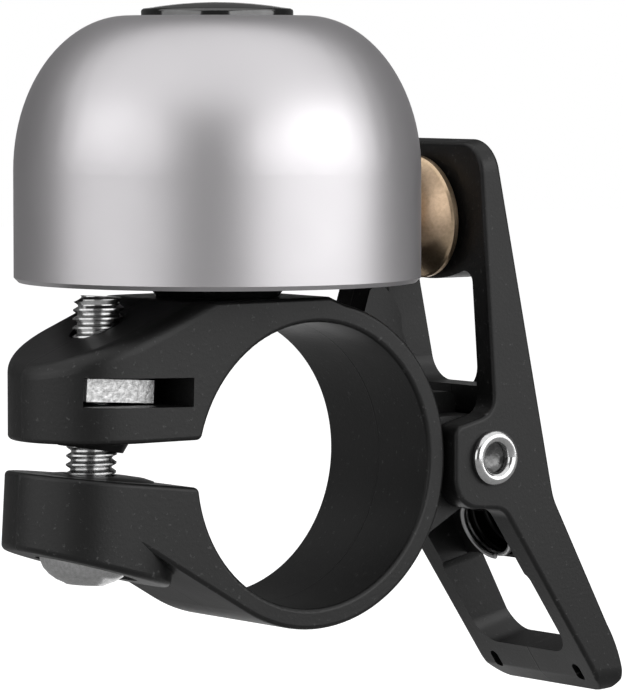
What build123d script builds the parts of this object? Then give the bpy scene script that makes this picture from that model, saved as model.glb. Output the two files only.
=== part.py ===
from build123d import *
import math
import os

# Small bicycle bell that clamps to a 22.2 mm handlebar. Millimetres.
# Origin: centre of the clamp bore, half way along it. +Y runs along the handlebar,
# +X points to the striker lever, +Z points up through the bell.

os.makedirs("parts", exist_ok=True)

# ---------------------------------------------------------------- driving sizes
bar_bore_r = 11.2             # clamp bore, for a 22.2 mm bar
ring_wall = 1.65
half_width = 6.6              # half the clamp's width along the bar
ring_r = bar_bore_r + ring_wall
edge_round = 0.35             # moulded edges

# lugs at the open side of the clamp
upper_lug_x = -16.5           # middle of the upper lug's round end
far_left_x = -26.0            # past both lugs, for cuts and outlines
platform_z = 13.15            # flat that carries the bell
platform_left_x = -11.5
platform_right_x = 1.4
lug_top_slope = 0.42          # fall of the upper lug per mm towards its end
lug_top_round = 1.4
gap_top_z, gap_top_slope = 2.56, 0.0          # roof of the slit, at x = -11
gap_bottom_z, gap_bottom_slope = -1.11, 0.112 # floor of the slit, at x = -11
gap_mouth_x, gap_middle_z = -11.0, 1.3
gusset_angle = 30.3           # underside of the lower lug, where it leaves the ring
boss_bottom_x, boss_bottom_z = -16.2, -7.8
boss_bottom_slope = 0.29

# clamp screw, M4 x 20, and its square nut
screw_x, screw_z = -16.65, 2.0
screw_tilt = 3.5              # degrees, leaning towards the lever
screw_r = 2.0
screw_clearance = 0.15
screw_seat = -8.5             # under the head, along the screw from (screw_x, screw_z)
screw_length = 20.0
screw_head_r = 3.65
screw_head_h = 2.2
screw_socket = 2.5            # hexagon across flats
nut_size = 7.0
nut_thickness = 1.75
nut_along = 4.4               # nut's middle, along the screw
slot_left_x, slot_right_x = -20.8, -11.7
slot_height = 2.25
slot_tilt = 1.7               # degrees, falling towards the ring
slot_back_y = 3.75            # floor of the nut's slot, past the nut

# bell
dome_x = -4.75
dome_r = 15.94
dome_wall = 1.6
dome_rim_z = 14.3
dome_top_z = 35.05
shoulder_z = 23.0             # above this the side turns in as a quarter ellipse
shoulder_reach = 9.0
dome_hole_r = 2.15
cap_r = 5.95                  # head of the screw on top of the bell
cap_edge_h = 0.55
cap_h = 1.05
post_foot_r = 5.35
post_foot_low_r = 4.8
post_waist_r = 3.6
post_top_r = 4.4
pad_thickness = 0.8
insert_r = 2.9
insert_h = 2.2

# hinge
pivot_x, pivot_z = 17.0, -0.2
barrel_r = 3.3
barrel_half_width = 5.15
ear_half_gap = 5.3
rivet_r = 1.6
rivet_bore_r = 1.2
rivet_rim_r = 2.2
rivet_rim_h = 0.7
running_gap = 0.06
stop_half_width = 2.0
stop_tip_x, stop_tip_z = 17.5, 4.8
stop_underside_z = 2.7
seat_bottom_x, seat_bottom_z = 12.0, -6.3   # underside of the hinge block, where it leaves the ring

# striker lever
lever_half_width = 7.5
lever_top_z = 25.3
lever_length = 60.0           # more than its real reach, for outlines
lever_top_round = 2.4
lever_heel_round = 2.0
plate_inner_low, plate_inner_high = (17.19, 3.4), (15.6, 24.95)
plate_outer_low, plate_outer_high = (23.42, -3.8), (17.15, lever_top_z)
tail_outer_low = (29.2, -14.5)
heel_tip, heel_bottom_z = (31.0, -19.1), -20.15
ear_left_x, ear_top_z, ear_bottom_z = 13.2, 2.4, -4.1
ear_top_round, ear_bottom_round, plate_root_round = 0.9, 2.4, 1.6
web_gap = 0.45                # between the lever's web and the hinge barrel
recess_x = 18.6               # face of the web behind the stop finger
window_half_width = 5.5
window_bottom_z, window_side_z, window_arch_z = 5.25, 15.1, 13.9
tail_window_half_width = 5.65
tail_window_slope = 13.0      # degrees
tail_window_top, tail_window_bottom = -14.6, -22.5   # along the window's own upright
tail_inner_top = (18.2, -4.45)
tail_lean = 34.2              # degrees from upright
tail_inner_length = 17.7
heel_slot_size = (1.7, 0.9)
heel_slot_along = 17.1
heel_slot_y = 5.3

# hammer, square to the lever's plate
hammer_z = 19.0
hammer_r = 4.95
hammer_neck_r, hammer_neck_h = 2.4, 0.5
hammer_edge_h = 1.25
hammer_h = 3.2
hammer_hole_h = 2.0           # blind hole for its screw
hammer_screw_r = 1.25
hammer_screw_head_r, hammer_screw_head_h = 2.3, 1.0
plate_at_screw = 1.7          # plate left under the screw's head

# return spring in a cup on the lever's web, and the seat it bears on
spring_tilt = 27.4            # degrees
spring_x, spring_z = 21.93, -7.0   # middle of the spring's open end
spring_r = 2.6                # to the middle of its wire
spring_wire_r = 0.23
spring_length = 4.0
spring_turns = 4
cup_r = 3.05
cup_wall = 0.75
cup_mouth = 1.3               # the spring stands this far out of the cup
seat_up = 2.0                 # the seat bears on the part of the spring above this
seat_half_width = 1.4
seat_heel = (18.4, -4.7)      # underside of the seat, where it leaves the barrel


# ---------------------------------------------------------------- work planes
def leaning(origin_x, origin_z, dir_x, dir_z):
    """Plane square to a direction in the side view, with local x along +Y."""
    return Plane(origin=(origin_x, 0, origin_z), x_dir=(0, 1, 0), z_dir=(dir_x, 0, dir_z))


screw_lean = math.radians(screw_tilt)
screw_up = (math.sin(screw_lean), math.cos(screw_lean))


def on_screw(along):
    """Plane square to the clamp screw, this far along it."""
    return leaning(screw_x + screw_up[0] * along, screw_z + screw_up[1] * along, *screw_up)


spring_lean = math.radians(spring_tilt)
spring_in = (math.cos(spring_lean), math.sin(spring_lean))


def spring_point(along, up):
    """Side-view point, this far into the cup and up across it."""
    return (spring_x + spring_in[0] * along - spring_in[1] * up,
            spring_z + spring_in[1] * along + spring_in[0] * up)


def on_spring(along):
    """Plane square to the return spring, this far into its cup."""
    return leaning(*spring_point(along, 0), *spring_in)


plate_lean = math.atan2(plate_inner_low[0] - plate_inner_high[0],
                        plate_inner_high[1] - plate_inner_low[1])
hammer_out = (-math.cos(plate_lean), -math.sin(plate_lean))
hammer_x = plate_inner_low[0] - (hammer_z - plate_inner_low[1]) * math.tan(plate_lean)


def on_plate(height):
    """Plane square to the hammer, this far out of the plate's inner face."""
    return leaning(hammer_x + hammer_out[0] * height, hammer_z + hammer_out[1] * height, *hammer_out)


tail_lean_rad = math.radians(tail_lean)


def tail_point(along, inward=0.0):
    """Side-view point down the tail's inner face, and this far into the tail."""
    return (tail_inner_top[0] + math.sin(tail_lean_rad) * along + math.cos(tail_lean_rad) * inward,
            tail_inner_top[1] - math.cos(tail_lean_rad) * along + math.sin(tail_lean_rad) * inward)


def on_pivot(y):
    """Plane square to the rivet at this y, seen from the front."""
    return Plane(origin=(pivot_x, y, pivot_z), x_dir=(1, 0, 0), z_dir=(0, -1, 0))


def beside(x):
    """Side view with its own origin at this x, for turned parts on an upright axis."""
    return Plane(origin=(x, 0, 0), x_dir=(1, 0, 0), z_dir=(0, -1, 0))


def crown(edge_r, edge_h, top_h):
    """Arc of a sphere centred on the turning axis, from its edge up to its top."""
    rise = top_h - edge_h
    ball_r = (edge_r**2 + rise**2) / (2 * rise)
    edge_angle = math.degrees(math.asin((edge_h - top_h + ball_r) / ball_r))
    return CenterArc((0, top_h - ball_r), ball_r, edge_angle, 90 - edge_angle)


side = Plane.XZ
dome_axis = Axis((dome_x, 0, 0), (0, 0, 1))

# ---------------------------------------------------------------- clamp bracket
gusset = math.radians(gusset_angle)
gusset_touch_x = -ring_r * math.sin(gusset)
gusset_touch_z = -ring_r * math.cos(gusset)
gusset_end_z = ((gusset_touch_z + (gusset_touch_x - screw_x + screw_z * math.tan(screw_lean)) * math.tan(gusset))
                / (1 + math.tan(gusset) * math.tan(screw_lean)))
gusset_end_x = gusset_touch_x - (gusset_end_z - gusset_touch_z) / math.tan(gusset)


def lug_top(x):
    return platform_z + (x - platform_left_x) * lug_top_slope


def meets_at_angle(edge, solid):
    """Whether the two faces along an edge meet at an angle there."""
    sides = solid.faces().filter_by(lambda face: edge in face.edges())
    normals = [face.normal_at(edge @ 0.5) for face in sides]
    return len(normals) == 2 and normals[0].get_angle(normals[1]) > 5


def gap_roof(x):
    return gap_top_z + (x - gap_mouth_x) * gap_top_slope


def gap_floor(x):
    return gap_bottom_z - (x - gap_mouth_x) * gap_bottom_slope


def boss_bottom(x):
    return boss_bottom_z - (x - boss_bottom_x) * boss_bottom_slope


with BuildPart() as clamp_bracket:
    # ring, platform and both lugs in one side outline
    with BuildSketch(side):
        Circle(ring_r)
        with BuildLine():
            Polyline(
                (platform_right_x + 1.8, 0),
                (platform_right_x + 1.8, ring_r - 0.45),
                (platform_right_x, platform_z),
                (platform_left_x, platform_z),
                (far_left_x, lug_top(far_left_x)),
                (far_left_x, gusset_end_z),
                (gusset_end_x, gusset_end_z),
                (gusset_touch_x, gusset_touch_z),
                (gusset_touch_x, 0),
                close=True,
            )
        make_face()
    extrude(amount=half_width, both=True)

    # round end of the upper lug, and its slope rounded into it
    with BuildSketch(Plane.XY.offset(gap_middle_z)):
        with Locations((upper_lug_x - half_width, 0)):
            Rectangle(2 * half_width, 2 * half_width + 1)
        with Locations((upper_lug_x, 0)):
            Circle(half_width, mode=Mode.SUBTRACT)
    extrude(amount=2 * half_width, mode=Mode.SUBTRACT)
    slope_face = (clamp_bracket.faces().filter_by(GeomType.PLANE)
                  .filter_by(lambda f: f.normal_at().Z > 0.8 and f.center().Z > 8)
                  .sort_by(Axis.X)[0])
    fillet(slope_face.edges(), lug_top_round)

    # long edges of the ring, the platform and the gusset
    rims = (clamp_bracket.edges().filter_by(Axis.Y, reverse=True)
            .filter_by(lambda e: abs((e @ 0.5).Y) > half_width - 0.1)
            .filter_by(lambda e: (e @ 0.5).X > gusset_end_x + 4 and (e @ 0.5).Z < platform_z + 0.1))
    fillet(rims, edge_round)

    # round boss for the screw's head, leaning with the screw
    with BuildSketch(on_screw(gap_bottom_z - screw_z)):
        Circle(half_width)
    extrude(amount=-12)
    with BuildSketch(side):
        with BuildLine():
            boss_left_x = far_left_x
            boss_right_x = gusset_end_x + half_width + 0.4
            Polyline(
                (boss_left_x, boss_bottom(boss_left_x)),
                (boss_right_x, boss_bottom(boss_right_x)),
                (boss_right_x, boss_bottom_z - 8),
                (boss_left_x, boss_bottom_z - 8),
                close=True,
            )
        make_face()
    extrude(amount=half_width + 1, both=True, mode=Mode.SUBTRACT)

    # round end of the lower lug, leaning with the screw
    with BuildSketch(on_screw(gap_middle_z - screw_z)):
        with Locations((0, half_width)):
            Rectangle(2 * half_width + 1, 2 * half_width)
        Circle(half_width, mode=Mode.SUBTRACT)
    extrude(amount=-3 * half_width, mode=Mode.SUBTRACT)

    # slit between the lugs, with rounded lips, then the bar's bore
    with BuildSketch(side):
        with BuildLine():
            Polyline(
                (far_left_x, gap_roof(far_left_x)),
                (gap_mouth_x + 2, gap_roof(gap_mouth_x + 2)),
                (gap_mouth_x + 2, gap_floor(gap_mouth_x + 2)),
                (far_left_x, gap_floor(far_left_x)),
                close=True,
            )
        make_face()
    extrude(amount=half_width + 1, both=True, mode=Mode.SUBTRACT)
    with BuildSketch(side):
        Circle(bar_bore_r)
    extrude(amount=half_width + 1, both=True, mode=Mode.SUBTRACT)
    lip_edges = (clamp_bracket.edges().filter_by(Axis.Y)
                 .filter_by_position(Axis.X, -12, -10)
                 .filter_by_position(Axis.Z, -3, 4))
    fillet(lip_edges, 0.5)
    mouth_edges = (clamp_bracket.edges()
                   .filter_by(lambda e: (e @ 0.5).X < gap_mouth_x + 0.5 and -1.3 < (e @ 0.5).Z < 3.2)
                   .filter_by(lambda e: abs((e % 0.5).Y) < 0.99 and meets_at_angle(e, clamp_bracket)))
    fillet(mouth_edges, edge_round)
    boss_face = (clamp_bracket.faces().filter_by(GeomType.PLANE)
                 .filter_by(lambda f: f.normal_at().Z < -0.9).sort_by(Axis.Z)[0])
    fillet(boss_face.edges(), 0.5)

    # slot for the square nut, open to the front
    with BuildSketch(Plane.XZ.offset(half_width + 1)):
        with Locations(((slot_left_x + slot_right_x) / 2, screw_z + nut_along)):
            Rectangle(slot_right_x - slot_left_x, slot_height, rotation=-slot_tilt)
    extrude(amount=-(half_width + 1 + slot_back_y), mode=Mode.SUBTRACT)

    # screw hole through both lugs, and the seat under the head
    with BuildSketch(on_screw(-14)):
        Circle(screw_r + screw_clearance)
    extrude(amount=30, mode=Mode.SUBTRACT)
    with BuildSketch(on_screw(screw_seat)):
        Circle(screw_head_r + 0.35)
    extrude(amount=-6, mode=Mode.SUBTRACT)

    # pocket for the threaded insert under the bell
    with BuildSketch(Plane.XY.offset(platform_z - insert_h)):
        with Locations((dome_x, 0)):
            Circle(insert_r)
    extrude(amount=insert_h + 1, mode=Mode.SUBTRACT)

    # hinge block that reaches out from the ring, with the spring's seat under its barrel
    with BuildSketch(side):
        with BuildLine():
            Polyline(
                (bar_bore_r, pivot_z + barrel_r),
                (pivot_x, pivot_z + barrel_r),
                (pivot_x, pivot_z - barrel_r),
                (seat_bottom_x, seat_bottom_z),
                (bar_bore_r - 1, seat_bottom_z),
                (bar_bore_r - 1, pivot_z + barrel_r),
                close=True,
            )
        make_face()
        with Locations((pivot_x, pivot_z)):
            Circle(barrel_r)
        Circle(bar_bore_r + 0.4, mode=Mode.SUBTRACT)
    extrude(amount=barrel_half_width, both=True)
    with BuildSketch(side):
        with BuildLine():
            Polyline(
                (pivot_x + 1.5, pivot_z),
                spring_point(0, spring_r + 1.2),
                spring_point(0, seat_up),
                seat_heel,
                (pivot_x, pivot_z - barrel_r + 0.2),
                (pivot_x, pivot_z),
                close=True,
            )
        make_face()
    extrude(amount=seat_half_width, both=True)

    # stop finger over the barrel, running up into the horn under the bell's rim
    with BuildSketch(side):
        with BuildLine():
            Polyline(
                (7.6, 9.6),
                (8.75, 13.2),
                (9.4, 13.8),
                (10.3, 13.45),
                (11.3, 12.4),
                (11.95, 11.2),
                (12.0, 9.9),
                (13.0, 7.8),
                (13.5, stop_tip_z),
                (stop_tip_x, stop_tip_z),
                (stop_tip_x, stop_underside_z),
                (bar_bore_r, stop_underside_z),
                close=True,
            )
        make_face()
        tip_corners = vertices().group_by(Axis.X)[-1]
        fillet(tip_corners, 0.8)
        Circle(bar_bore_r + 0.4, mode=Mode.SUBTRACT)
    extrude(amount=stop_half_width, both=True)

    # bore for the rivet
    with BuildSketch(on_pivot(0)):
        Circle(rivet_r + running_gap)
    extrude(amount=half_width + 1, both=True, mode=Mode.SUBTRACT)

# ---------------------------------------------------------------- square nut
with BuildPart() as square_nut:
    with BuildSketch(on_screw(nut_along - nut_thickness / 2)):
        Rectangle(nut_size, nut_size)
    extrude(amount=nut_thickness)
    corners = square_nut.edges().filter_by(lambda e: abs(e.length - nut_thickness) < 0.01)
    chamfer(corners, 0.4)
    with BuildSketch(on_screw(nut_along - nut_thickness)):
        Circle(screw_r + 0.05)
    extrude(amount=2 * nut_thickness, mode=Mode.SUBTRACT)

# ---------------------------------------------------------------- clamp screw
with BuildPart() as clamp_screw:
    with BuildSketch(on_screw(screw_seat)):
        Circle(screw_r)
    extrude(amount=screw_length)
    chamfer(clamp_screw.faces().sort_by(Axis.Z)[-1].edges(), 0.35)
    head_frame = Plane(origin=on_screw(screw_seat).origin, z_dir=(0, -1, 0),
                       x_dir=(screw_up[1], 0, -screw_up[0]))
    with BuildSketch(head_frame):
        with BuildLine():
            Line((0, 0), (screw_head_r, 0))
            ThreePointArc((screw_head_r, 0), (2.95, -1.35), (1.9, -screw_head_h))
            Polyline((1.9, -screw_head_h), (0, -screw_head_h), (0, 0))
        make_face()
    revolve(axis=Axis(head_frame.origin, on_screw(0).z_dir))
    with BuildSketch(on_screw(screw_seat - screw_head_h)):
        RegularPolygon(radius=screw_socket / 2, side_count=6, major_radius=False)
    extrude(amount=1.3, mode=Mode.SUBTRACT)

# ---------------------------------------------------------------- bell and its post
shoulder_r = dome_r - shoulder_reach
dome_inner_r = dome_r - dome_wall
dome_inner_top = dome_top_z - dome_wall
post_top_z = dome_inner_top - pad_thickness

with BuildPart() as bell_dome:
    with BuildSketch(beside(dome_x)):
        with BuildLine():
            top = Line((dome_hole_r, dome_top_z), (shoulder_r, dome_top_z))
            EllipticalCenterArc((shoulder_r, shoulder_z), shoulder_reach,
                                dome_top_z - shoulder_z, start_angle=0, arc_size=90)
            Polyline(
                (dome_r, shoulder_z),
                (dome_r, dome_rim_z + 0.35),
                (dome_r - 0.35, dome_rim_z),
                (dome_inner_r + 0.2, dome_rim_z),
                (dome_inner_r, dome_rim_z + 0.2),
                (dome_inner_r, shoulder_z),
            )
            EllipticalCenterArc((shoulder_r, shoulder_z), shoulder_reach - dome_wall,
                                dome_inner_top - shoulder_z, start_angle=0, arc_size=90)
            Polyline((shoulder_r, dome_inner_top), (dome_hole_r, dome_inner_top), top @ 0)
        make_face()
    revolve(axis=dome_axis)

with BuildPart() as dome_pad:
    with BuildSketch(Plane.XY.offset(post_top_z)):
        with Locations((dome_x, 0)):
            Circle(post_top_r)
            Circle(dome_hole_r, mode=Mode.SUBTRACT)
    extrude(amount=pad_thickness)

with BuildPart() as dome_post:
    with BuildSketch(beside(dome_x)):
        with BuildLine():
            foot = Polyline(
                (dome_hole_r, platform_z),
                (post_foot_low_r, platform_z),
                (post_foot_r, platform_z + 0.7),
                (post_foot_r, platform_z + 1.6),
                (post_waist_r + 0.6, platform_z + 2.4),
            )
            waist = ThreePointArc(foot @ 1, (post_waist_r, (platform_z + post_top_z) / 2),
                                  (post_top_r, post_top_z - 1.2))
            Polyline(waist @ 1, (post_top_r, post_top_z), (dome_hole_r, post_top_z), foot @ 0)
        make_face()
    revolve(axis=dome_axis)

with BuildPart() as post_insert:
    with BuildSketch(Plane.XY.offset(platform_z - insert_h)):
        with Locations((dome_x, 0)):
            Circle(insert_r)
            Circle(screw_r, mode=Mode.SUBTRACT)
    extrude(amount=insert_h)

with BuildPart() as dome_screw:
    with BuildSketch(beside(dome_x)):
        with BuildLine():
            shaft_bottom_z = platform_z - insert_h + 0.2
            shaft = Polyline(
                (0, shaft_bottom_z),
                (screw_r, shaft_bottom_z),
                (screw_r, dome_top_z),
                (cap_r, dome_top_z),
                (cap_r, dome_top_z + cap_edge_h - 0.25),
            )
            ThreePointArc(shaft @ 1, (cap_r - 0.09, dome_top_z + cap_edge_h - 0.08),
                          (cap_r - 0.3, dome_top_z + cap_edge_h))
            crown(cap_r - 0.3, dome_top_z + cap_edge_h, dome_top_z + cap_h)
            Line((0, dome_top_z + cap_h), shaft @ 0)
        make_face()
    revolve(axis=dome_axis)
    with BuildSketch(Plane.XY.offset(dome_top_z + cap_h + 0.1)):
        with Locations((dome_x, 0)):
            RegularPolygon(radius=screw_socket / 2, side_count=6, major_radius=False)
    extrude(amount=-1.6, mode=Mode.SUBTRACT)

# ---------------------------------------------------------------- striker lever
hollow_r = barrel_r + web_gap

with BuildPart() as striker_lever:
    # side outline, solid across the width at first
    with BuildSketch(side):
        with BuildLine():
            Polyline(
                plate_inner_low,
                plate_inner_high,
                plate_outer_high,
                plate_outer_low,
                tail_outer_low,
            )
            ThreePointArc(tail_outer_low, (30.35, -16.75), heel_tip)
            Polyline(
                heel_tip,
                (heel_tip[0] - 0.45, heel_bottom_z + 0.25),
                (heel_tip[0] - 1.5, heel_bottom_z),
                tail_point(tail_inner_length),
                tail_inner_top,
                (ear_left_x, ear_bottom_z),
                (ear_left_x, ear_top_z),
                plate_inner_low,
            )
        make_face()
        rounds = (
            (plate_inner_low, plate_root_round),
            (plate_outer_low, 5),
            (tail_inner_top, 1.8),
            ((ear_left_x, ear_bottom_z), ear_bottom_round),
            ((ear_left_x, ear_top_z), ear_top_round),
            (tail_point(tail_inner_length), 0.8),
        )
        for (corner_x, corner_z), corner_r in rounds:
            fillet(vertices().sort_by_distance((corner_x, corner_z, 0))[0], corner_r)
    extrude(amount=lever_half_width, both=True)

    # rounded corners at the top and the heel, each along its own end
    top_rise = math.atan2(plate_outer_high[1] - plate_inner_high[1],
                          plate_outer_high[0] - plate_inner_high[0])
    with BuildSketch(leaning(*plate_inner_high, math.cos(top_rise), math.sin(top_rise))):
        with Locations((0, -lever_length / 2)):
            Rectangle(2 * lever_half_width, lever_length)
        fillet(vertices().group_by(Axis.Y)[-1], lever_top_round)
    extrude(amount=lever_length, both=True, mode=Mode.INTERSECT)
    with BuildSketch(leaning(0, heel_bottom_z, 1, 0)):
        with Locations((0, lever_length / 2)):
            Rectangle(2 * lever_half_width, lever_length)
        fillet(vertices().group_by(Axis.Y)[0], lever_heel_round)
    extrude(amount=lever_length, both=True, mode=Mode.INTERSECT)
    lever_edges = striker_lever.edges().filter_by(lambda e: abs((e % 0.5).Y) < 0.99)
    fillet(lever_edges.filter_by(lambda e: meets_at_angle(e, striker_lever)), edge_round)

    # room between the ears for the barrel, the stop finger and the spring's seat
    with BuildSketch(side):
        with BuildLine():
            Polyline(
                (10, window_bottom_z + 0.5),
                (recess_x, window_bottom_z + 0.5),
                (recess_x, 3.4),
                (pivot_x + 2.0, pivot_z + 2.0),
                (pivot_x + hollow_r, pivot_z),
                spring_point(cup_mouth, 3.6),
                spring_point(cup_mouth, -4.2),
                (20, -11.0),
                (10, -8),
                close=True,
            )
        make_face()
        with Locations((pivot_x, pivot_z)):
            Circle(hollow_r)
    extrude(amount=ear_half_gap, both=True, mode=Mode.SUBTRACT)

    # cup for the return spring, standing out of the web's far side
    with BuildSketch(on_spring(cup_mouth)):
        Circle(cup_r + cup_wall)
    extrude(amount=spring_length - cup_mouth + cup_wall)
    cup_end = (striker_lever.faces().filter_by(GeomType.PLANE)
               .sort_by_distance(on_spring(spring_length + cup_wall).origin)[0])
    fillet(cup_end.edges(), 0.6)
    with BuildSketch(on_spring(cup_mouth - 2)):
        Circle(cup_r)
    extrude(amount=spring_length - cup_mouth + 2, mode=Mode.SUBTRACT)

    # upper window, with an arched top under the hammer
    with BuildSketch(leaning(10, 0, 1, 0)):
        with BuildLine():
            Polyline(
                (window_half_width, window_side_z),
                (window_half_width, window_bottom_z),
                (-window_half_width, window_bottom_z),
                (-window_half_width, window_side_z),
            )
            ThreePointArc((-window_half_width, window_side_z), (0, window_arch_z),
                          (window_half_width, window_side_z))
        make_face()
        fillet(vertices().group_by(Axis.Y)[0], 1.9)
        fillet(vertices().group_by(Axis.Y)[-1], 0.9)
    extrude(amount=16, mode=Mode.SUBTRACT)

    # tail window
    slope = math.radians(tail_window_slope)
    window_out = (math.cos(slope), math.sin(slope))
    window_mid = (tail_window_top + tail_window_bottom) / 2
    window_plane = leaning(-math.sin(slope) * window_mid, math.cos(slope) * window_mid, *window_out)
    with BuildSketch(window_plane):
        Rectangle(2 * tail_window_half_width, tail_window_top - tail_window_bottom)
        fillet(vertices().group_by(Axis.Y)[0], 2.0)
        fillet(vertices().group_by(Axis.Y)[-1], 0.9)
    extrude(amount=40, mode=Mode.SUBTRACT)

    # small slots in the heel
    heel_x, heel_z = tail_point(heel_slot_along)
    with BuildSketch(leaning(heel_x, heel_z, math.cos(tail_lean_rad), math.sin(tail_lean_rad))):
        with Locations((-heel_slot_y, 0), (heel_slot_y, 0)):
            SlotOverall(heel_slot_size[0], heel_slot_size[1], rotation=90)
    extrude(amount=1.0, mode=Mode.SUBTRACT)

    # holes for the rivet and for the hammer's screw
    with BuildSketch(on_pivot(0)):
        Circle(rivet_r)
    extrude(amount=lever_half_width + 1, both=True, mode=Mode.SUBTRACT)
    with BuildSketch(on_plate(1)):
        Circle(hammer_screw_r)
    extrude(amount=-8, mode=Mode.SUBTRACT)
    with BuildSketch(on_plate(-plate_at_screw)):
        Circle(hammer_screw_head_r + 0.2)
    extrude(amount=-4, mode=Mode.SUBTRACT)

# ---------------------------------------------------------------- hammer and its screw
def hammer_frame(height):
    """Side view along the hammer's axis, local y pointing at the bell."""
    return Plane(origin=on_plate(height).origin, z_dir=(0, -1, 0),
                 x_dir=(hammer_out[1], 0, -hammer_out[0]))


with BuildPart() as hammer:
    with BuildSketch(hammer_frame(0)):
        with BuildLine():
            back = Polyline(
                (0, hammer_hole_h),
                (hammer_screw_r, hammer_hole_h),
                (hammer_screw_r, 0),
                (hammer_neck_r, 0),
                (hammer_neck_r, hammer_neck_h),
                (hammer_r - 0.15, hammer_neck_h),
                (hammer_r, hammer_neck_h + 0.15),
                (hammer_r, hammer_edge_h - 0.2),
                (hammer_r - 0.15, hammer_edge_h),
            )
            crown(hammer_r - 0.15, hammer_edge_h, hammer_h)
            Line((0, hammer_h), back @ 0)
        make_face()
    revolve(axis=Axis(hammer_frame(0).origin, hammer_frame(0).y_dir))

with BuildPart() as hammer_screw:
    with BuildSketch(on_plate(-plate_at_screw)):
        Circle(hammer_screw_r)
    extrude(amount=plate_at_screw + hammer_hole_h - 0.2)
    with BuildSketch(on_plate(-plate_at_screw)):
        Circle(hammer_screw_head_r)
    extrude(amount=-hammer_screw_head_h)
    fillet(hammer_screw.faces().sort_by(Axis.X)[-1].edges(), 0.4)
    with BuildSketch(on_plate(-plate_at_screw - hammer_screw_head_h)):
        Rectangle(2.6, 0.6)
        Rectangle(0.6, 2.6)
    extrude(amount=0.6, mode=Mode.SUBTRACT)

# ---------------------------------------------------------------- pivot rivet
with BuildPart() as pivot_rivet:
    rim_y = lever_half_width + rivet_rim_h
    with BuildSketch(Plane(origin=(pivot_x, 0, pivot_z), x_dir=(1, 0, 0), z_dir=(0, 0, 1))):
        with BuildLine():
            wall = Polyline(
                (rivet_bore_r, 0),
                (rivet_r, 0),
                (rivet_r, lever_half_width),
                (rivet_rim_r - 0.1, lever_half_width),
                (rivet_rim_r, lever_half_width + 0.15),
                (rivet_rim_r, rim_y - 0.3),
            )
            lip = ThreePointArc(wall @ 1, ((rivet_rim_r + rivet_bore_r) / 2 + 0.12, rim_y),
                                (rivet_bore_r, rim_y - 0.35))
            Line(lip @ 1, wall @ 0)
        make_face()
    revolve(axis=Axis((pivot_x, 0, pivot_z), (0, 1, 0)))
    mirror(about=Plane.XZ)

# ---------------------------------------------------------------- return spring
with BuildPart() as return_spring:
    pitch = (spring_length - 2 * spring_wire_r) / spring_turns
    with BuildLine() as coil:
        Helix(pitch=pitch, height=spring_length - 2 * spring_wire_r, radius=spring_r,
              center=on_spring(spring_wire_r).origin, direction=on_spring(0).z_dir)
    with BuildSketch(Plane(origin=coil.line @ 0, z_dir=coil.line % 0)):
        Circle(spring_wire_r)
    sweep(path=coil.line, is_frenet=True)

# ---------------------------------------------------------------- write the parts
pieces = {
    "clamp_bracket": clamp_bracket,
    "square_nut": square_nut,
    "clamp_screw": clamp_screw,
    "bell_dome": bell_dome,
    "dome_pad": dome_pad,
    "dome_post": dome_post,
    "post_insert": post_insert,
    "dome_screw": dome_screw,
    "striker_lever": striker_lever,
    "hammer": hammer,
    "hammer_screw": hammer_screw,
    "pivot_rivet": pivot_rivet,
    "return_spring": return_spring,
}
for name, piece in pieces.items():
    piece.part.label = name
    export_step(piece.part, f"parts/{name}.step")
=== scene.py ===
import bpy
import math
from mathutils import Matrix, Vector


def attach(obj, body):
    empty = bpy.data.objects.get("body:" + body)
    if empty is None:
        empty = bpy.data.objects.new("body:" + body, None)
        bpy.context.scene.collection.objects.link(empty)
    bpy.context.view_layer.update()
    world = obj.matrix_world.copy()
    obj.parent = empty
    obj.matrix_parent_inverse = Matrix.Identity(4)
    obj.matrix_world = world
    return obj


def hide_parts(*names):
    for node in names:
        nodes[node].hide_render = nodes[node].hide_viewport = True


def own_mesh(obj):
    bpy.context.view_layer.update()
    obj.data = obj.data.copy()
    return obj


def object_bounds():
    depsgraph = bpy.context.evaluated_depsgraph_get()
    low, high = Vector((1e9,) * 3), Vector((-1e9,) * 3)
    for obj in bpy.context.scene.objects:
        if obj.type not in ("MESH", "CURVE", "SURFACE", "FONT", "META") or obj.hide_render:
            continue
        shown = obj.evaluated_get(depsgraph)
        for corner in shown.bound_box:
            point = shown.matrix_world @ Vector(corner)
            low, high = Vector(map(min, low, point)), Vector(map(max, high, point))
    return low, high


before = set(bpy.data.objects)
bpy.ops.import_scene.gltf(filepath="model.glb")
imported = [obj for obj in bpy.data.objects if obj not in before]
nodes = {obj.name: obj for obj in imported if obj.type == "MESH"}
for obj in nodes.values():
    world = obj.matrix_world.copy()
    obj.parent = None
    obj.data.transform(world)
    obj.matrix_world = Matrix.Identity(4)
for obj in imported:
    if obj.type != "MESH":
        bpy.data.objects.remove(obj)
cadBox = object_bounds()
mm = 0.001


class Flow:   # wraps a socket, so that shader maths reads as plain sums
    def __init__(self, paint, socket):
        self.paint = paint
        self.socket = socket

    def maths(self, operation, *others):
        node = self.paint.node("ShaderNodeMath", {"operation": operation},
                               dict(enumerate((self,) + others)))
        return Flow(self.paint, node.outputs[0])

    def __add__(self, other):
        return self.maths("ADD", other)

    def __mul__(self, other):
        return self.maths("MULTIPLY", other)

    def __truediv__(self, other):
        return self.maths("DIVIDE", other)

    def __rsub__(self, other):
        return (self * -1.0).maths("ADD", other)

    __radd__ = __add__
    __rmul__ = __mul__

    def between(self, low, high):
        node = self.paint.node("ShaderNodeMapRange", {"clamp": True},
                               {"Value": self, "From Min": low, "From Max": high})
        return Flow(self.paint, node.outputs[0])


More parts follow.
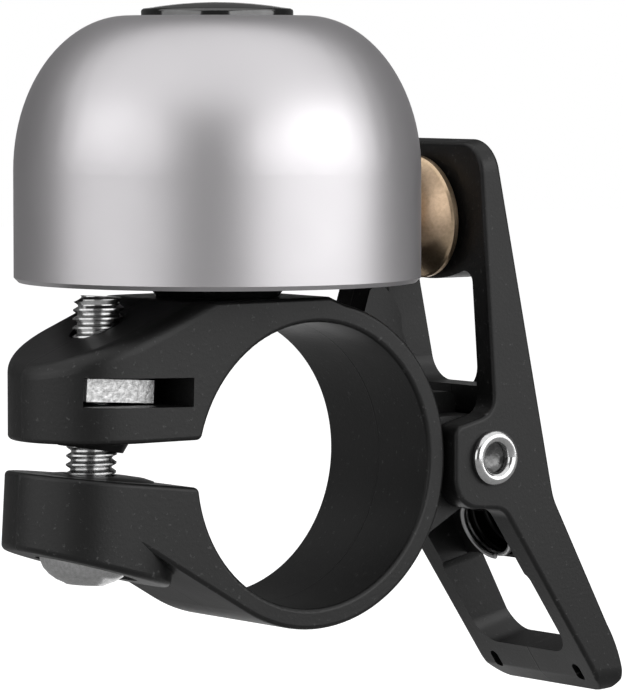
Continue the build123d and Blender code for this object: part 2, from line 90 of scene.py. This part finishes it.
class Paint:   # the nodes of one material, or of the world
    def __init__(self, owner, output="ShaderNodeOutputMaterial"):
        self.owner = owner
        owner.use_nodes = True
        self.tree = owner.node_tree
        self.tree.nodes.clear()
        self.output = self.node(output)

    def node(self, kind, settings=None, values=None):
        node = self.tree.nodes.new(kind)
        for key, value in (settings or {}).items():
            setattr(node, key, value)
        for key, value in (values or {}).items():
            if isinstance(value, Flow):
                self.tree.links.new(value.socket, node.inputs[key])
            else:
                node.inputs[key].default_value = value
        return node

    def out(self, node, socket=0):
        return Flow(self, node.outputs[socket])

    def place(self):
        return self.out(self.node("ShaderNodeTexCoord"), "Object")

    def turned(self, centre, tilt):   # the place, measured from a turned centre
        return self.out(self.node("ShaderNodeMapping", {"vector_type": "TEXTURE"},
                                  {"Vector": self.place(), "Location": centre, "Rotation": tilt}))

    def axis(self, vector, name):
        return self.out(self.node("ShaderNodeSeparateXYZ", {}, {"Vector": vector}), name)

    def dot(self, first, second):
        return self.out(self.node("ShaderNodeVectorMath", {"operation": "DOT_PRODUCT"},
                                  {0: first, 1: second}), "Value")

    def noise(self, size, detail=2.0, rough=0.5):
        return self.out(self.node("ShaderNodeTexNoise", {},
                                  {"Vector": self.place(), "Scale": 1.0 / size,
                                   "Detail": detail, "Roughness": rough}), "Fac")

    def blend(self, factor, first, second):
        return self.out(self.node("ShaderNodeMix", {"data_type": "RGBA"},
                                  {0: factor, 6: first, 7: second}), 2)

    def bump(self, height, depth):
        return self.out(self.node("ShaderNodeBump", {},
                                  {"Height": height, "Distance": depth, "Strength": 1.0}))

    def show(self, shader):
        self.tree.links.new(shader.outputs[0], self.output.inputs["Surface"])
        return self.owner

    def finish(self, values):
        return self.show(self.node("ShaderNodeBsdfPrincipled", {}, values))


def newPaint(name):
    return Paint(bpy.data.materials.new(name))


def grey(level):
    return (level, level, level, 1.0)


mouldedPlastic = {"colour": 0.0045, "cloudy": 0.0085, "cloudSize": 4.0 * mm, "cloudDetail": 3.0,
                  "specks": 0.06, "speckSize": 0.5 * mm, "speckDetail": 4.0, "speckRough": 0.7,
                  "speckFrom": 0.62, "speckTo": 0.70, "speckDulls": 0.1,
                  "grainSize": 0.25 * mm, "grainDepth": 0.012 * mm,
                  "seamWide": 0.09 * mm, "seamTall": 0.03 * mm,
                  "roughness": 0.42, "roughnessSpread": 0.12, "shine": 0.42}


def makeMouldedPlastic():   # cloudy black, fine grain, a little dust, and the mould's seam along its middle
    p = newPaint("moulded_black_plastic")
    s = mouldedPlastic
    cloud = p.noise(s["cloudSize"], s["cloudDetail"])
    grain = p.noise(s["grainSize"])
    dust = p.noise(s["speckSize"], s["speckDetail"], s["speckRough"])
    specks = dust.between(s["speckFrom"], s["speckTo"])
    across = p.axis(p.place(), "Y").maths("ABSOLUTE")
    seam = 1 - across.between(s["seamWide"] / 2, s["seamWide"])
    plain = p.blend(cloud, grey(s["colour"]), grey(s["cloudy"]))
    rough = (cloud * s["roughnessSpread"] + specks * s["speckDulls"]
             + (s["roughness"] - s["roughnessSpread"] / 2))
    height = grain * s["grainDepth"] + seam * s["seamTall"]
    return p.finish({"Base Color": p.blend(specks, plain, grey(s["specks"])), "Roughness": rough,
                     "Specular IOR Level": s["shine"], "Normal": p.bump(height, 1.0)})


bellSilver = {"colour": (0.69, 0.672, 0.69, 1), "shade": (0.63, 0.613, 0.63, 1), "cloudSize": 9.0 * mm,
              "roughness": 0.42, "roughnessSpread": 0.08, "fineSize": 0.12 * mm, "fineDepth": 0.002 * mm}


def makeBellSilver():
    p = newPaint("satin_silver_plating")
    s = bellSilver
    cloud = p.noise(s["cloudSize"])
    rough = cloud * s["roughnessSpread"] + (s["roughness"] - s["roughnessSpread"] / 2)
    return p.finish({"Base Color": p.blend(cloud, s["colour"], s["shade"]), "Metallic": 1.0,
                     "Roughness": rough, "Normal": p.bump(p.noise(s["fineSize"]), s["fineDepth"])})


metalCloud = {"detail": 3.0, "rough": 0.6, "from": 0.3, "to": 0.7}


def makeMetal(name, colour, shade, roughness, spread=0.08, speckle=0.3 * mm, depth=0.004 * mm):
    p = newPaint(name)
    s = metalCloud
    cloud = p.noise(speckle, s["detail"], s["rough"])
    tone = p.blend(cloud.between(s["from"], s["to"]), colour, shade)
    rough = cloud * spread + (roughness - spread / 2)
    return p.finish({"Base Color": tone, "Metallic": 1.0, "Roughness": rough,
                     "Normal": p.bump(cloud, depth)})


# the darker grey deeper in the cup is painted shade for the inside of the spring's cup
springWire = {"mouth": (21.93, 0, -7.0), "lean": 62.6, "bright": 0.5, "paintedShadeGrey": 0.03,
              "shadeStarts": 0.6 * mm, "shadeFull": 0.9 * mm, "ragged": 0.3 * mm,
              "cloudSize": 0.5 * mm, "cloudDetail": 3.0, "cloudDepth": 0.002 * mm,
              "roughness": 0.3, "roughnessSpread": 0.1}


def makeSpringWire():   # the wire's own grey at the mouth, turning darker deeper inside its cup with painted shade
    p = newPaint("spring_wire")
    s = springWire
    depth = p.axis(p.turned(Vector(s["mouth"]) * mm, (0, math.radians(s["lean"]), 0)), "Z")
    cloud = p.noise(s["cloudSize"], s["cloudDetail"])
    # painted shade: the wire darkens with depth into its cup, and the edge of the shade is made ragged
    paintedShadeDeep = (depth + cloud * s["ragged"]).between(s["shadeStarts"], s["shadeFull"])
    return p.finish({"Base Color": p.blend(paintedShadeDeep, grey(s["bright"]), grey(s["paintedShadeGrey"])),
                     "Metallic": 1.0, "Roughness": cloud * s["roughnessSpread"] + s["roughness"],
                     "Normal": p.bump(cloud, s["cloudDepth"])})


smoothGloss = {"cloudSize": 3.0 * mm, "paler": 1.4, "roughnessSpread": 0.05,
               "rippleSize": 1.5 * mm, "rippleDepth": 0.004 * mm}


def makeGloss(name, level, roughness):
    p = newPaint(name)
    s = smoothGloss
    cloud = p.noise(s["cloudSize"])
    return p.finish({"Base Color": p.blend(cloud, grey(level), grey(level * s["paler"])),
                     "Roughness": cloud * s["roughnessSpread"] + roughness,
                     "Normal": p.bump(p.noise(s["rippleSize"]), s["rippleDepth"])})


finishes = {
    "clamp_bracket": makeMouldedPlastic(),
    "bell_dome": makeBellSilver(),
    "dome_pad": makeGloss("black_rubber", 0.02, roughness=0.7),
    "dome_post": makeGloss("glossy_black", 0.012, roughness=0.12),
    "post_insert": makeMetal("insert_brass", (0.6, 0.42, 0.18, 1), (0.5, 0.33, 0.13, 1),
                             roughness=0.3),
    "dome_screw": makeMetal("dark_chrome", grey(0.14), grey(0.10), roughness=0.10, spread=0.04,
                            speckle=2 * mm, depth=0.001 * mm),
    "square_nut": makeMetal("zinc_plate", grey(0.75), grey(0.35), roughness=0.32, spread=0.2,
                            speckle=0.35 * mm, depth=0.03 * mm),
    "clamp_screw": makeMetal("zinc_screw", grey(0.7), grey(0.5), roughness=0.22),
    "hammer": makeMetal("turned_brass", (0.80, 0.61, 0.42, 1), (0.64, 0.47, 0.30, 1),
                        roughness=0.3),
    "hammer_screw": makeMetal("small_screw", grey(0.7), grey(0.5), roughness=0.25),
    "pivot_rivet": makeMetal("bright_rivet", grey(0.75), grey(0.6), roughness=0.16),
    "return_spring": makeSpringWire(),
}
finishes["striker_lever"] = finishes["clamp_bracket"]
for name, material in finishes.items():
    nodes[name].data.materials.clear()
    nodes[name].data.materials.append(material)
finishes["rivet_end"] = makeMetal("dull_rivet_end", grey(0.20), grey(0.10), roughness=0.28,
                                  spread=0.1, speckle=0.5 * mm, depth=0.05 * mm)
print("materials made")


# a new piece starts as a primitive, is drawn out in edit mode, turned about Z and then set in place
smoothBelow = 35.0          # degrees between faces
joinWithin = 0.001 * mm     # points closer than this are one


def startPiece(name):
    piece = bpy.context.object
    piece.name = name
    piece.data.name = name
    return piece


def drawOutline(name, points):   # a row of edges in the XZ plane, drawn out from one vertex
    bpy.ops.object.select_all(action="DESELECT")
    bpy.ops.mesh.primitive_plane_add(size=mm)
    piece = startPiece(name)
    places = [Vector((across * mm, 0, up * mm)) for across, up in points]
    bpy.ops.object.mode_set(mode="EDIT")
    bpy.ops.mesh.select_all(action="SELECT")
    bpy.ops.mesh.merge(type="CENTER")
    bpy.ops.transform.translate(value=places[0])
    for start, end in zip(places, places[1:]):
        bpy.ops.mesh.extrude_vertices_move(TRANSFORM_OT_translate={"value": end - start})
    bpy.ops.object.mode_set(mode="OBJECT")
    return piece


def turnRound(piece, steps, rise=0.0, turns=1):   # a lathe, or a helix where it rises
    turned = piece.modifiers.new("turned", "SCREW")
    turned.steps = turned.render_steps = steps
    turned.screw_offset = rise * mm
    turned.iterations = turns
    bpy.ops.object.modifier_apply(modifier=turned.name)


def closeUp(fill=False):   # works on the piece just made
    bpy.ops.object.mode_set(mode="EDIT")
    bpy.ops.mesh.select_all(action="SELECT")
    bpy.ops.mesh.remove_doubles(threshold=joinWithin)
    if fill:
        bpy.ops.mesh.fill_holes(sides=0)
        bpy.ops.mesh.select_all(action="SELECT")
    bpy.ops.mesh.normals_make_consistent(inside=False)
    bpy.ops.object.mode_set(mode="OBJECT")


def cutEnd(at, keepBelow, facing=(0, 0, 1)):   # works on the piece just made
    bpy.ops.object.mode_set(mode="EDIT")
    bpy.ops.mesh.select_all(action="SELECT")
    bpy.ops.mesh.bisect(plane_co=[value * mm for value in at], plane_no=facing, threshold=joinWithin,
                        use_fill=True, clear_outer=keepBelow, clear_inner=not keepBelow)
    bpy.ops.object.mode_set(mode="OBJECT")


def pickOnly(piece):
    bpy.ops.object.select_all(action="DESELECT")
    piece.select_set(True)
    bpy.context.view_layer.objects.active = piece


def combine(piece, other, operation):
    pickOnly(piece)
    joined = piece.modifiers.new("joined", "BOOLEAN")
    joined.operation, joined.solver, joined.object = operation, "EXACT", other
    bpy.ops.object.modifier_apply(modifier=joined.name)
    bpy.data.objects.remove(other)


def setInPlace(piece, at, lean, about="Y"):   # its place is kept in the mesh
    turn = Matrix.Rotation(math.radians(lean), 4, about)
    piece.data.transform(Matrix.Translation(Vector(at) * mm) @ turn)
    pickOnly(piece)
    bpy.ops.object.shade_smooth_by_angle(angle=math.radians(smoothBelow))


# heights are from the screw's own centre, along its lean;
# the crown's points are given as in from the rim and down from the seat
clampScrew = {"at": (-16.65, 0, 2.0), "lean": 3.5, "seat": -8.5, "tip": 11.5,
              "pitch": 0.7, "crest": 1.96, "root": 1.6, "flat": 0.06, "flank": 0.225, "runIn": 0.6,
              "tipLength": 0.45, "tipShare": 0.86, "steps": 40,
              "headWide": 3.65, "headTall": 2.2, "headGap": 0.03, "headEdge": 0.12, "headSteps": 96,
              "crown": ((0.06, 0.5), (0.32, 1.02), (0.78, 1.5), (1.36, 1.88), (1.95, 2.11), (2.1, 2.2)),
              "socket": 2.5, "socketDeep": 1.5}


def addThread(s):
    low, high = s["flat"], s["flat"] + s["flank"]
    groove = [(s["root"], 0), (s["root"], low), (s["crest"], high), (s["crest"], s["pitch"] - high),
              (s["root"], s["pitch"] - low), (s["root"], s["pitch"])]
    start = s["seat"] - 2 * s["pitch"]
    turns = math.ceil((s["tip"] - start) / s["pitch"]) + 1
    thread = drawOutline("clamp_screw_threaded", [(r, start + up) for r, up in groove])
    turnRound(thread, s["steps"], s["pitch"], turns)
    closeUp()
    cutEnd((0, 0, s["tip"]), keepBelow=True)
    cutEnd((0, 0, s["seat"] - s["runIn"] * s["pitch"]), keepBelow=False)
    bpy.ops.object.mode_set(mode="EDIT")
    bpy.ops.mesh.select_all(action="DESELECT")
    bpy.ops.object.mode_set(mode="OBJECT")
    for vertex in thread.data.vertices:
        vertex.select = vertex.co.z > (s["tip"] - s["tipLength"]) * mm
    bpy.ops.object.mode_set(mode="EDIT")
    bpy.ops.transform.resize(value=(s["tipShare"], s["tipShare"], 1), center_override=(0, 0, 0))
    bpy.ops.object.mode_set(mode="OBJECT")
    closeUp()
    return thread


def addScrewHead(s):
    wide, edge = s["headWide"], s["headEdge"]
    top, low = s["seat"] - s["headGap"], s["seat"] - s["headTall"]
    rim = [(0, top), (wide - edge, top), (wide, top - edge)]
    crown = [(wide - inward, s["seat"] - down) for inward, down in s["crown"]]
    head = drawOutline("screw_head", rim + crown + [(0, low)])
    turnRound(head, s["headSteps"])
    closeUp()
    bpy.ops.object.select_all(action="DESELECT")
    bpy.ops.mesh.primitive_cylinder_add(vertices=6, radius=s["socket"] / math.sqrt(3) * mm,
                                        depth=2 * s["socketDeep"] * mm, location=(0, 0, low * mm))
    combine(head, bpy.context.object, "DIFFERENCE")
    return head


def addClampScrew():
    s = clampScrew
    screw = addThread(s)
    combine(screw, addScrewHead(s), "UNION")
    closeUp()
    setInPlace(screw, s["at"], s["lean"])
    screw.data.materials.clear()
    screw.data.materials.append(finishes["clamp_screw"])
    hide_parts("clamp_screw")
    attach(screw, "screw")


addClampScrew()
print("clamp screw threaded")


# the slit's mouldings round the screw: a cone under the upper lug, a low mound on the lower one;
# each is given as its wide radius, its narrow radius and its height
slitBosses = {"hole": 2.05, "sunk": 0.5, "steps": 64,
              "roof": 0.6, "cone": (2.95, 2.2, 1.2), "coneRim": (0.12, 0.3), "coneFoot": (0.2, 0.08),
              "coneSlope": 0.1, "floor": -2.47, "mound": (4.9, 3.1, 0.22), "moundEdge": 0.1,
              "moundFlank": (0.7, 0.45), "moundRim": (0.4, 0.05)}


def addCone(s):
    wide, narrow, tall = s["cone"]
    top, foot = s["roof"] + s["sunk"], s["roof"] - tall
    (rimIn, rimDown), (footOut, footUp) = s["coneRim"], s["coneFoot"]
    cone = drawOutline("slit_cone", [
        (s["hole"], top), (wide, top), (wide, s["roof"]), (wide - rimIn, s["roof"] - rimDown),
        (narrow + footOut, foot + footUp), (narrow, foot), (s["hole"], foot), (s["hole"], top)])
    turnRound(cone, s["steps"])
    closeUp()
    cutEnd((wide, 0, foot), keepBelow=False, facing=(s["coneSlope"], 0, 1))
    return cone


def addMound(s):
    wide, narrow, tall = s["mound"]
    base, crown = s["floor"] - s["sunk"], s["floor"] + tall
    (flankIn, flankShare), (rimOut, rimDown) = s["moundFlank"], s["moundRim"]
    mound = drawOutline("slit_mound", [
        (s["hole"], base), (wide, base), (wide, s["floor"] - s["moundEdge"]),
        (wide - flankIn, s["floor"] + tall * flankShare), (narrow + rimOut, crown - rimDown),
        (narrow, crown), (s["hole"], crown), (s["hole"], base)])
    turnRound(mound, s["steps"])
    closeUp()
    return mound


for boss in (addCone(slitBosses), addMound(slitBosses)):
    setInPlace(boss, clampScrew["at"], clampScrew["lean"])
    boss.data.materials.append(finishes["clamp_bracket"])
    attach(boss, "bracket")
print("cone and mound added round the screw")


# dished ends, a little way down the rivet's bore;
# the profile is in shares of the bore's radius and of the dish's depth
rivetEnds = {"pivot": (17.0, -0.2), "bore": 1.21, "mouth": 8.2, "sunk": 1.3, "thick": 0.35, "steps": 48,
             "dish": 0.4, "profile": ((0.0, 0.0), (0.45, 0.125), (0.8, 0.45), (1.0, 1.0))}


def addRivetEnds():
    s = rivetEnds
    x, z = s["pivot"]
    face = [(s["bore"] * out, s["dish"] * up) for out, up in s["profile"]]
    for name, side in (("rivet_end_front", -1), ("rivet_end_back", 1)):
        end = drawOutline(name, face + [(s["bore"], -s["thick"]), (0, -s["thick"])])
        turnRound(end, s["steps"])
        closeUp()
        setInPlace(end, (x, side * (s["mouth"] - s["sunk"]), z), -90 * side, "X")
        end.data.materials.append(finishes["rivet_end"])
        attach(end, "lever")


addRivetEnds()
print("rivet ends set in")


# stretches of the spring from its mouth, each as turns and rise per turn; it flattens towards its far end
springCoils = {"at": springWire["mouth"], "lean": springWire["lean"], "radius": 2.6, "wire": 0.23,
               "stretches": ((2, 0.47), (2, 1.3)), "steps": 48, "sides": 10, "kept": 0.63, "length": 4.0}


def addSpring():
    s = springCoils
    height = s["wire"]
    coils = []
    for turns, rise in s["stretches"]:
        bpy.ops.object.select_all(action="DESELECT")
        bpy.ops.mesh.primitive_circle_add(vertices=s["sides"], radius=s["wire"] * mm,
                                          location=(s["radius"] * mm, 0, height * mm),
                                          rotation=(math.radians(90), 0, 0))
        coil = startPiece("return_spring_coiled")
        bpy.ops.object.transform_apply(location=True, rotation=True, scale=True)
        turnRound(coil, s["steps"], rise, turns)
        coils.append(coil)
        height += turns * rise
    bpy.ops.object.select_all(action="DESELECT")
    for coil in coils:
        coil.select_set(True)
    spring = coils[0]
    bpy.context.view_layer.objects.active = spring
    bpy.ops.object.join()
    closeUp(fill=True)
    setInPlace(spring, s["at"], s["lean"])
    spring.data.materials.clear()
    spring.data.materials.append(finishes["return_spring"])
    along = Vector((math.sin(math.radians(s["lean"])), 0, math.cos(math.radians(s["lean"]))))
    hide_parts("return_spring")
    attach(spring, "lever")
    tuple((Vector(s["at"]) + along * s["length"]) * mm)
    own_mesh(spring)


addSpring()
print("spring coiled")


cameraPlace = {"azimuth": 36.85, "elevation": 3.69, "distance": 367.9 * mm,
               "aim": (3.47 * mm, -1.56 * mm, 8.97 * mm), "lens": 241.8, "sensor": 36.0,
               "nearest": 0.01, "farthest": 10.0}


def lookDirection():
    turn, lift = math.radians(cameraPlace["azimuth"]), math.radians(cameraPlace["elevation"])
    return Vector((math.sin(turn) * math.cos(lift), math.cos(turn) * math.cos(lift), -math.sin(lift)))


def addCamera():
    s = cameraPlace
    look = lookDirection()
    bpy.ops.object.camera_add(location=Vector(s["aim"]) - look * s["distance"])
    camera = bpy.context.object
    camera.rotation_mode = "QUATERNION"
    camera.rotation_quaternion = look.to_track_quat("-Z", "Y")
    camera.data.lens, camera.data.sensor_width = s["lens"], s["sensor"]
    camera.data.clip_start, camera.data.clip_end = s["nearest"], s["farthest"]
    bpy.context.scene.camera = camera


addCamera()
bpy.context.scene.view_settings.view_transform = "Standard"
print("camera set")


studio = {"floorDrop": 30 * mm, "floorSize": 3.0, "floorColour": 0.42, "liftNear": 0.60, "liftFar": 1.0,
          "nearWithin": 0.07, "farBeyond": 0.22, "ambient": 0.03, "room": 0.12, "backdropHalfAngle": 10.0,
          "rightBox": {"turn": 57.0, "lift": 3.0, "away": 0.60, "size": (0.94, 0.62), "power": 3.5},
          "leftBox": {"turn": -57.0, "lift": 3.0, "away": 0.62, "size": (0.82, 0.62), "power": 2.0},
          "topBox": {"turn": 0.0, "lift": 78.0, "away": 0.60, "size": (2.9, 1.1), "power": 9.0}}


def addSoftBox(name, s):   # turn is measured from the camera's side
    turn = math.radians(s["turn"] - cameraPlace["azimuth"])
    lift = math.radians(s["lift"])
    away = Vector((math.sin(turn) * math.cos(lift), -math.cos(turn) * math.cos(lift), math.sin(lift)))
    bpy.ops.object.light_add(type="AREA", location=Vector(cameraPlace["aim"]) + away * s["away"])
    lamp = bpy.context.object
    lamp.name = name
    lamp.rotation_mode = "QUATERNION"
    lamp.rotation_quaternion = (-away).to_track_quat("-Z", "Y")
    lamp.data.shape = "RECTANGLE"
    lamp.data.size, lamp.data.size_y = s["size"]
    lamp.data.energy = s["power"]


for boxName in ("rightBox", "leftBox", "topBox"):
    addSoftBox(boxName, studio[boxName])


# 1 for the camera and through openings, and in metal where the backdrop lies behind the bell
def whiteSeen(p, rays, facing):
    behind = facing.maths("GREATER_THAN", math.cos(math.radians(studio["backdropHalfAngle"])))
    straight = p.out(rays, "Is Camera Ray").maths("MAXIMUM", p.out(rays, "Is Transmission Ray"))
    return straight.maths("MAXIMUM", p.out(rays, "Is Glossy Ray") * behind)


# the floor is lifted to white further out and stays a little darker near the bell, for its shadow
def addFloor():
    s = studio
    bpy.ops.mesh.primitive_plane_add(size=s["floorSize"], location=(0, 0, cadBox[0][2] - s["floorDrop"]))
    floor = bpy.context.object
    floor.name = "studio_floor"
    p = newPaint("pale_floor")
    away = p.out(p.node("ShaderNodeVectorMath", {"operation": "LENGTH"}, {0: p.place()}), "Value")
    look = lookDirection()
    facing = p.dot(p.place(), Vector((look.x, look.y, 0)).normalized()) / away
    seen = whiteSeen(p, p.node("ShaderNodeLightPath"), facing)
    lift = away.between(s["nearWithin"], s["farBeyond"]) * (s["liftFar"] - s["liftNear"]) + s["liftNear"]
    plain = p.node("ShaderNodeBsdfDiffuse", {}, {"Color": grey(s["floorColour"])})
    glow = p.node("ShaderNodeEmission", {}, {"Color": grey(1.0), "Strength": lift * seen})
    both = p.node("ShaderNodeAddShader", {}, {0: p.out(plain), 1: p.out(glow)})
    floor.data.materials.append(p.show(both))


addFloor()


# what metal sees away from the backdrop is the dim room
def lightWorld():
    s = studio
    world = bpy.data.worlds.new("studio_world")
    bpy.context.scene.world = world
    p = Paint(world, "ShaderNodeOutputWorld")
    rays = p.node("ShaderNodeLightPath")
    facing = p.dot(p.out(p.node("ShaderNodeTexCoord"), "Generated"), lookDirection())
    dim = p.out(rays, "Is Glossy Ray") * (s["room"] - s["ambient"]) + s["ambient"]
    strength = dim.maths("MAXIMUM", whiteSeen(p, rays, facing))
    p.show(p.node("ShaderNodeBackground", {}, {"Color": grey(1.0), "Strength": strength}))


lightWorld()
print("studio ready")
